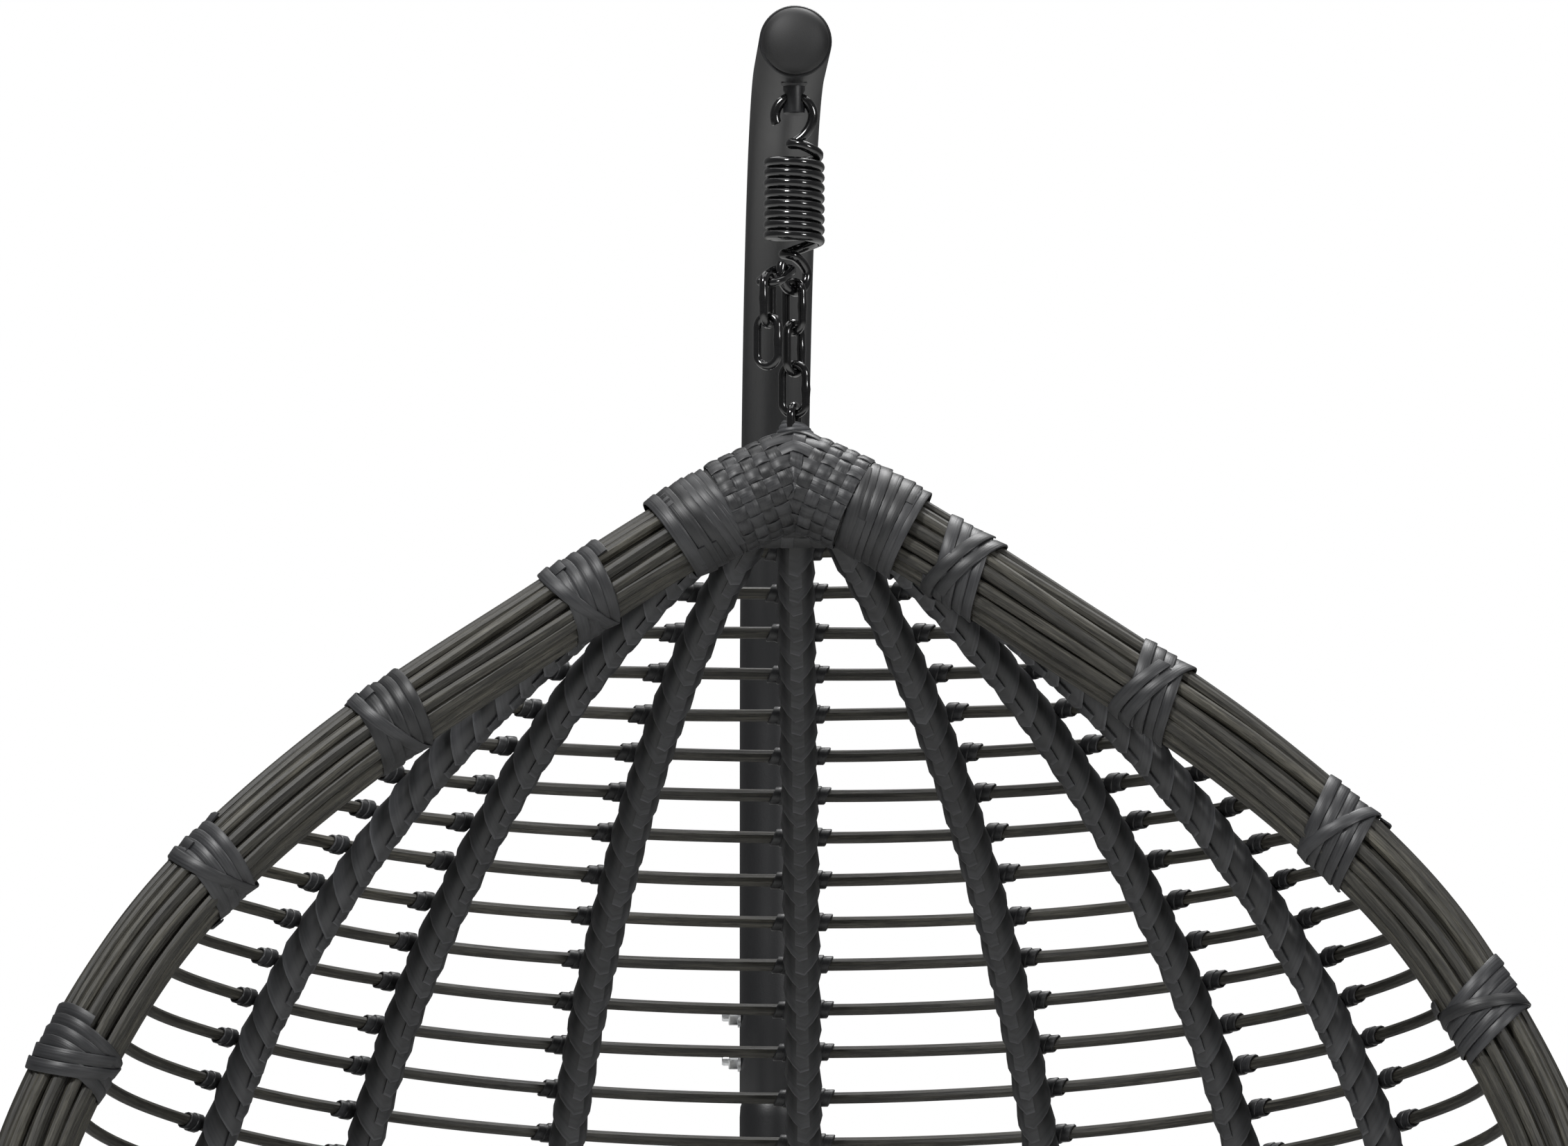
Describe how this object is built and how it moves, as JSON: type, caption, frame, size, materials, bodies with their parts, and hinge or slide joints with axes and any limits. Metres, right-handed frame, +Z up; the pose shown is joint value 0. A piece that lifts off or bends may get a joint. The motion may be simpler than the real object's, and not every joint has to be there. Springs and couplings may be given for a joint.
{
  "type": "hanging egg chair",
  "caption": "Hanging egg chair: a teardrop woven basket with a seat pad, hung by a spring and chain from a bent pole on a floor ring.",
  "frame": {"origin": "on the floor in the middle of the floor ring, straight below the hang axis", "axes": "+Z up; the basket's mouth and the arm's open end face -Y; +X is to the right seen from the front"},
  "size_m": [1.07, 1.0766, 1.909],
  "materials": {
    "black_steel": "satin black powder coat",
    "chain_steel": "gloss black coat",
    "zinc": "zinc plated",
    "plug": "matte moulded",
    "rubber": "matte",
    "cane": "round synthetic cane with long grain",
    "strip": "flat synthetic strip, satin",
    "cushion": "woven outdoor fabric"
  },
  "bodies": {
    "stand": {"base_ring_right": "black_steel", "base_ring_left": "black_steel", "ring_sleeve": "black_steel", "ring_spine": "black_steel", "pole_socket": "black_steel", "pole_lower": "black_steel", "pole_upper": "black_steel", "hook_stud": "black_steel", "arm_plug": "plug", "pole_bolt_1": "zinc", "pole_bolt_2": "zinc", "socket_bolt_right": "zinc", "socket_bolt_left": "zinc", "sleeve_bolt_left": "zinc", "sleeve_bolt_right": "zinc", "foot_1": "rubber", "foot_2": "rubber", "foot_3": "rubber", "foot_4": "rubber"},
    "spring": {"spring": "chain_steel"},
    "link_1": {"chain_link_1": "chain_steel"},
    "link_2": {"chain_link_2": "chain_steel"},
    "link_3": {"chain_link_3": "chain_steel"},
    "basket": {"hanger_loop": "chain_steel", "rim_core": "black_steel", "rim_canes_rear": "cane", "rim_canes_front": "cane", "rim_band_left_1": "strip", "rim_band_left_2": "strip", "rim_band_left_3": "strip", "rim_band_left_4": "strip", "rim_band_left_5": "strip", "rim_band_left_6": "strip", "rim_band_right_1": "strip", "rim_band_right_2": "strip", "rim_band_right_3": "strip", "rim_band_right_4": "strip", "rim_band_right_5": "strip", "rim_band_right_6": "strip", "apex_wrap": "strip", "centre_rib": "strip", "rib_right_1": "strip", "rib_right_2": "strip", "rib_right_3": "strip", "rib_left_1": "strip", "rib_left_2": "strip", "rib_left_3": "strip", "rung_belt_1": "cane", "rung_belt_2": "cane", "rung_belt_3": "cane", "rung_belt_4": "cane", "rung_belt_5": "cane", "rung_belt_6": "cane", "seat_cushion": "cushion"},
    "tail_1": {"tail_link_1": "chain_steel"},
    "tail_2": {"tail_link_2": "chain_steel"},
    "tail_3": {"tail_link_3": "chain_steel"}
  },
  "joints": [
    {"name": "spring_swing", "type": "hinge", "parent": "stand", "child": "spring", "pos_m": [0, 0, 1.855], "axis": [-1, 0, 0], "range_deg": [-2, 10]},
    {"name": "spring_bounce", "type": "slide", "parent": "spring", "child": "link_1", "axis": [0, 0, -1], "range_m": [0, 0.05], "stiffness_N_per_m": 20000, "springref_m": -0.012, "deforming": ["spring"]},
    {"name": "link_2_swing", "type": "hinge", "parent": "link_1", "child": "link_2", "pos_m": [0, 0, 1.7049], "axis": [-0.6691, 0.7431, 0], "range_deg": [-1.5, 5]},
    {"name": "link_3_swing", "type": "hinge", "parent": "link_2", "child": "link_3", "pos_m": [0, 0, 1.6786], "axis": [-0.6157, -0.788, 0], "range_deg": [-1.5, 5]},
    {"name": "basket_turn", "type": "hinge", "parent": "link_3", "child": "basket", "pos_m": [0, 0, 1.6523], "axis": [0, 0, 1], "range_deg": [-21, 21]},
    {"name": "tail_1_tilt", "type": "hinge", "parent": "link_1", "child": "tail_1", "pos_m": [-0.00848, -0.00848, 1.74275], "axis": [0.9247, -0.3807, 0], "range_deg": [-6, 6]},
    {"name": "tail_2_swing", "type": "hinge", "parent": "tail_1", "child": "tail_2", "pos_m": [-0.01744, -0.03024, 1.73277], "axis": [0.9247, -0.3807, 0], "range_deg": [-9, 7]},
    {"name": "tail_3_swing", "type": "hinge", "parent": "tail_2", "child": "tail_3", "pos_m": [-0.01744, -0.03024, 1.70637], "axis": [-0.3807, -0.9247, 0], "range_deg": [-8, 6]}
  ]
}
